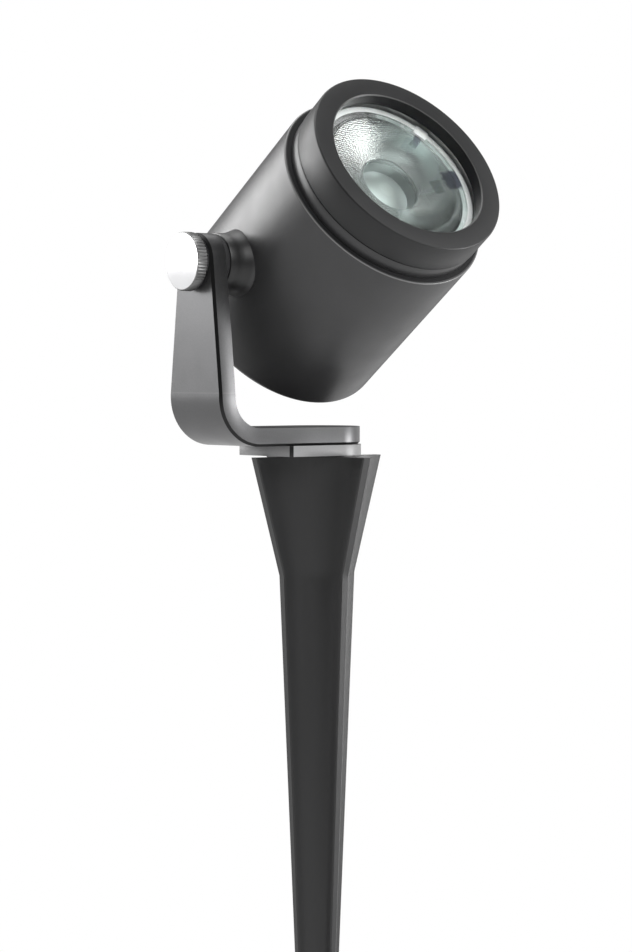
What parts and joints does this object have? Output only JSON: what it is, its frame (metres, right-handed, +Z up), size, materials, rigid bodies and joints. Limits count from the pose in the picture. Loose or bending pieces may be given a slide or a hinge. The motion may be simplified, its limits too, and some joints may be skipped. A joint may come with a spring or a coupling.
{
  "type": "garden spike spotlight",
  "caption": "Round spotlight head on a one-armed strap bracket with a knurled tilt knob, standing on a tapered ground spike with fins",
  "frame": {"origin": "on the spike's axis, at the spike's top face, where the bracket's foot turns", "axes": "+Z up along the spike; -Y is the level direction of the beam as stored; the bracket's arm and the tilt knob are on the -X side"},
  "size_m": [0.0792, 0.0905, 0.3383],
  "materials": {
    "spike_plastic": "fine moulded satin",
    "brass": "turned",
    "strap_coat": "satin grey coat",
    "stainless": "turned",
    "knob_metal": "polished face, knurled rim",
    "graphite_coat": "satin graphite coat",
    "bezel_coat": "fine matte graphite coat",
    "rubber": "moulded",
    "clear_glass": "polished",
    "clear_optic": "polished with fine lenslets",
    "holder_plastic": "moulded",
    "bare_aluminium": "machined",
    "thermal_pad": "soft pad",
    "white_board": "white solder mask",
    "emitter": "phosphor dot on a ceramic square",
    "driver_board": "green solder mask",
    "black_component": "moulded",
    "capacitor": "printed sleeve without print",
    "terminal": "moulded",
    "lead_red": "insulation",
    "lead_black": "insulation",
    "gland_plastic": "moulded"
  },
  "bodies": {
    "spike": {"spike": "spike_plastic", "spike_insert": "brass"},
    "bracket": {"foot_plate": "strap_coat", "strap_bracket": "strap_coat", "bracket_screw": "stainless"},
    "head": {"friction_washer": "rubber", "pivot_insert": "brass", "housing": "graphite_coat", "body_seal": "rubber", "collar": "graphite_coat", "bezel": "bezel_coat", "glass_gasket": "rubber", "front_glass": "clear_glass", "optic": "clear_optic", "lens_holder": "holder_plastic", "heat_plate": "bare_aluminium", "plate_screws": "stainless", "thermal_pad": "thermal_pad", "led_board": "white_board", "led_emitter": "emitter", "board_screws": "stainless", "driver_board": "driver_board", "driver_screws": "stainless", "driver_inductor": "black_component", "driver_capacitor": "capacitor", "driver_terminal": "terminal", "lead_red": "lead_red", "lead_black": "lead_black", "gland_body": "gland_plastic", "gland_ring": "rubber", "gland_locknut": "gland_plastic", "gland_nut": "gland_plastic", "gland_seal": "rubber"},
    "knob_washer": {"knob_washer": "stainless"},
    "knob": {"knob": "knob_metal"}
  },
  "joints": [
    {"name": "bracket_pan", "type": "hinge", "parent": "spike", "child": "bracket", "pos_m": [0, 0, 0], "axis": [0, 0, 1], "continuous": true},
    {"name": "head_tilt", "type": "hinge", "parent": "bracket", "child": "head", "pos_m": [0, 0, 0.0532], "axis": [-1, 0, 0], "range_deg": [-65, 174]},
    {"name": "knob_backoff", "type": "slide", "parent": "head", "child": "knob_washer", "axis": [-1, 0, 0], "range_m": [0, 0.001]},
    {"name": "knob_turn", "type": "hinge", "parent": "knob_washer", "child": "knob", "pos_m": [0, 0, 0.0532], "axis": [-1, 0, 0], "range_deg": [0, 360]}
  ],
  "couplings": [
    {"joint": "knob_turn", "follows": "knob_backoff", "rad_per_m": 6283.2}
  ]
}
